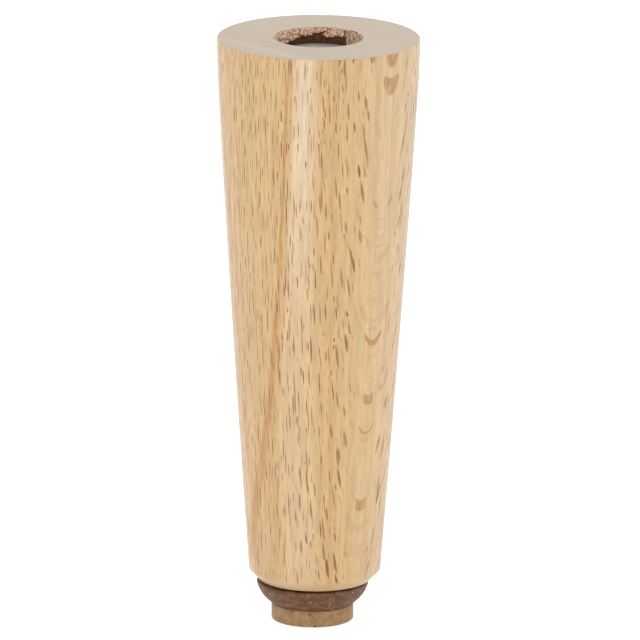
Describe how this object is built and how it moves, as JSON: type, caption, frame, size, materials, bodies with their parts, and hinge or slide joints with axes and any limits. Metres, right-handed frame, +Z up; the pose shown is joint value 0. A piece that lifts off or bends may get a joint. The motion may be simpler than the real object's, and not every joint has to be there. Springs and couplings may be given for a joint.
{
  "type": "wooden furniture leg",
  "caption": "Round tapered beech furniture leg with a threaded insert in a recess in its top and a nail-on felt glide under its foot.",
  "frame": {"origin": "on the floor, under the leg's turning axis", "axes": "+Z up along the leg, from the felt pad to the top face"},
  "size_m": [0.0508, 0.0508, 0.15],
  "materials": {
    "beech": "sanded, thin clear oil",
    "zinc_alloy": "die-cast, dull grey",
    "brown_plastic": "moulded, slightly rough",
    "nail_steel": "bright wire",
    "tan_felt": "pressed needle felt"
  },
  "bodies": {
    "root": {"leg_body": "beech", "insert_nut": "zinc_alloy", "glide_cup": "brown_plastic", "glide_nail": "nail_steel", "felt_pad": "tan_felt"}
  },
  "joints": []
}
